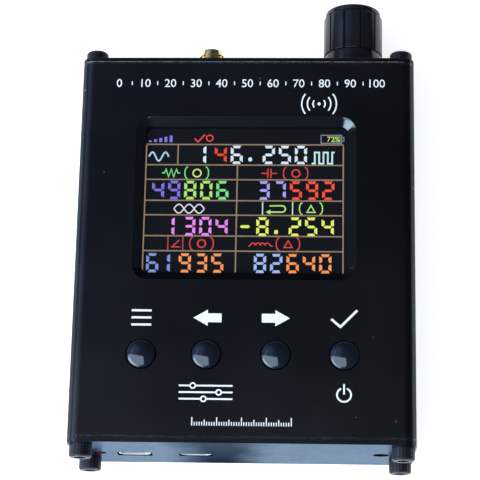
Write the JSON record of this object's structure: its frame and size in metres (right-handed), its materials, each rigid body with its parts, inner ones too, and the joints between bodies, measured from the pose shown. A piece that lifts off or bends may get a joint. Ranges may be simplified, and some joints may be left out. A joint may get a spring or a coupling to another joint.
{
  "type": "antenna analyzer",
  "caption": "Handheld antenna analyzer in a flat metal case with a colour screen, domed buttons, a fluted control knob and a threaded antenna jack.",
  "frame": {"origin": "centre of the back face, which the device rests on", "axes": "+Z out of the front face with the screen, +Y towards the knob and the antenna jack, +X to the right seen from the front"},
  "size_m": [0.083, 0.1185, 0.0307],
  "materials": {
    "front_anodised": "fine satin black anodised",
    "back_anodised": "fine satin black anodised",
    "plate_anodised": "satin black anodised sheet",
    "black_oxide": "black oxide",
    "display_cell": "glossy screen",
    "backlight_white": "white moulded",
    "inner_black": "black moulded plastic",
    "flex_film": "amber film",
    "board_mask": "green solder mask",
    "brass_pillar": "turned brass",
    "zinc_steel": "zinc plated",
    "tinplate": "tinned sheet",
    "chip_epoxy": "black epoxy",
    "button_gloss": "polished black",
    "knob_gloss": "glossy black",
    "gold_plate": "gold plated brass",
    "ptfe": "white fluoropolymer",
    "zinc_alloy": "die cast",
    "socket_steel": "plated sheet",
    "red_lens": "tinted clear red",
    "battery_foil": "laminated foil",
    "foam_grey": "closed cell foam",
    "connector_nylon": "natural nylon",
    "wire_cover": "soft insulation"
  },
  "bodies": {
    "root": {"front_cover": "front_anodised", "back_cover": "back_anodised", "top_end_plate": "plate_anodised", "bottom_end_plate": "plate_anodised", "top_plate_screws": "black_oxide", "bottom_plate_screws": "black_oxide", "display_glass": "display_cell", "display_backlight": "backlight_white", "display_carrier": "inner_black", "display_flex": "flex_film", "front_board": "board_mask", "main_board": "board_mask", "board_socket": "inner_black", "board_header": "inner_black", "board_standoffs": "brass_pillar", "standoff_screws": "zinc_steel", "rf_shield": "tinplate", "rf_chip": "chip_epoxy", "controller_chip": "chip_epoxy", "charger_chip": "chip_epoxy", "power_coil": "chip_epoxy", "sma_jack": "gold_plate", "sma_insulator": "ptfe", "sma_contact": "gold_plate", "sma_washer": "gold_plate", "sma_nut": "gold_plate", "encoder_housing": "inner_black", "encoder_bushing": "zinc_alloy", "encoder_washer": "zinc_steel", "encoder_nut": "zinc_steel", "mini_usb_shell": "socket_steel", "mini_usb_tongue": "inner_black", "micro_usb_shell": "socket_steel", "micro_usb_tongue": "inner_black", "charge_led": "red_lens", "reset_switch": "inner_black", "battery_foam": "foam_grey", "battery_cell": "battery_foil", "battery_socket": "connector_nylon", "battery_plug": "connector_nylon", "battery_leads": "wire_cover", "menu_switch": "inner_black", "left_switch": "inner_black", "right_switch": "inner_black", "ok_switch": "inner_black"},
    "menu_button": {"menu_button": "button_gloss", "menu_plunger": "inner_black"},
    "left_button": {"left_button": "button_gloss", "left_plunger": "inner_black"},
    "right_button": {"right_button": "button_gloss", "right_plunger": "inner_black"},
    "ok_button": {"ok_button": "button_gloss", "ok_plunger": "inner_black"},
    "push_plunger": {"push_plunger": "inner_black"},
    "knob": {"knob": "knob_gloss", "knob_cap": "knob_gloss", "encoder_shaft": "zinc_alloy"},
    "rotor": {"encoder_rotor": "inner_black"},
    "reset_plunger": {"reset_plunger": "inner_black"}
  },
  "joints": [
    {"name": "menu_press", "type": "slide", "parent": "root", "child": "menu_button", "axis": [0, 0, -1], "range_m": [0, 0.00035], "stiffness_N_per_m": 1600, "springref_m": -0.0006},
    {"name": "left_press", "type": "slide", "parent": "root", "child": "left_button", "axis": [0, 0, -1], "range_m": [0, 0.00035], "stiffness_N_per_m": 1600, "springref_m": -0.0006},
    {"name": "right_press", "type": "slide", "parent": "root", "child": "right_button", "axis": [0, 0, -1], "range_m": [0, 0.00035], "stiffness_N_per_m": 1600, "springref_m": -0.0006},
    {"name": "ok_press", "type": "slide", "parent": "root", "child": "ok_button", "axis": [0, 0, -1], "range_m": [0, 0.00035], "stiffness_N_per_m": 1600, "springref_m": -0.0006},
    {"name": "reset_press", "type": "slide", "parent": "root", "child": "reset_plunger", "axis": [0, 1, 0], "range_m": [0, 0.00025], "stiffness_N_per_m": 1600, "springref_m": -0.0006},
    {"name": "knob_push", "type": "slide", "parent": "root", "child": "push_plunger", "axis": [0, -1, 0], "range_m": [0, 0.0005], "stiffness_N_per_m": 4000, "springref_m": -0.0005},
    {"name": "knob_turn", "type": "hinge", "parent": "push_plunger", "child": "knob", "pos_m": [0.0265, 0.058, 0.0145], "axis": [0, 1, 0], "continuous": true},
    {"name": "rotor_turn", "type": "hinge", "parent": "root", "child": "rotor", "pos_m": [0.0265, 0.0449, 0.0145], "axis": [0, 1, 0], "continuous": true}
  ],
  "couplings": [
    {"joint": "rotor_turn", "follows": "knob_turn", "ratio": 1}
  ]
}
